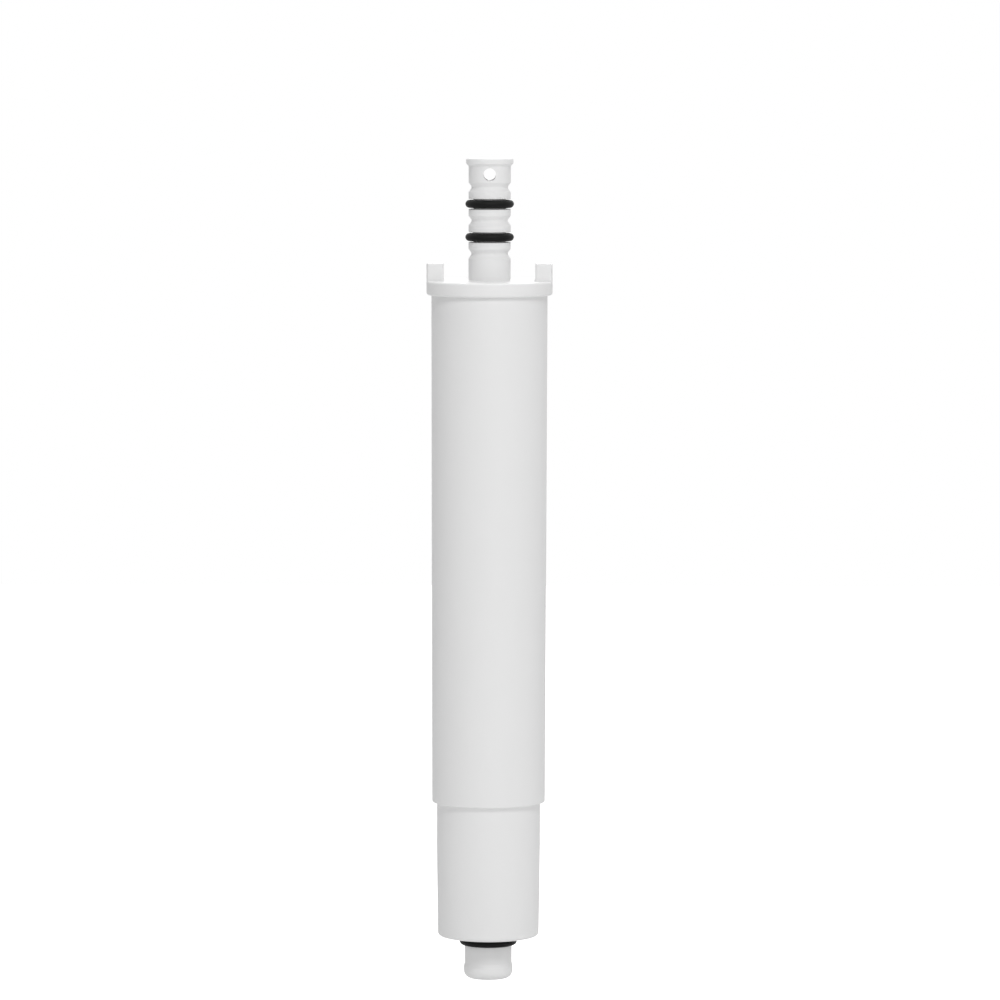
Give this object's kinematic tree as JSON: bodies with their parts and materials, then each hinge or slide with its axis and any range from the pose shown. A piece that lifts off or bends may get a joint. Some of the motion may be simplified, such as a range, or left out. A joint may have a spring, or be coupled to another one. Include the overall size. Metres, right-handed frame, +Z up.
{
  "type": "water filter cartridge",
  "caption": "Long white tubular water filter cartridge with an O-ring sealed port stem and lock lugs at one end, and a stepped narrower base with a spigot.",
  "frame": {"origin": "centre of the seat face, the top of the end plate round the port stem", "axes": "+Z up the port stem, along the cartridge's axis; +X through a lock lug; Y along the outlet port"},
  "size_m": [0.0419, 0.042, 0.2743],
  "materials": {
    "housing_polypropylene": "satin",
    "cap_polypropylene": "satin",
    "end_cap_polypropylene": "satin",
    "nitrile_rubber": "satin",
    "pressed_carbon": "matte",
    "inner_nonwoven": "matte",
    "outer_nonwoven": "matte"
  },
  "bodies": {
    "root": {"housing": "housing_polypropylene", "top_cap": "cap_polypropylene", "stem_o_ring_upper": "nitrile_rubber", "stem_o_ring_lower": "nitrile_rubber", "base_o_ring": "nitrile_rubber", "neck_seal": "nitrile_rubber", "upper_block_cap": "end_cap_polypropylene", "lower_block_cap": "end_cap_polypropylene", "carbon_block": "pressed_carbon", "inner_wrap": "inner_nonwoven", "outer_wrap": "outer_nonwoven"}
  },
  "joints": []
}
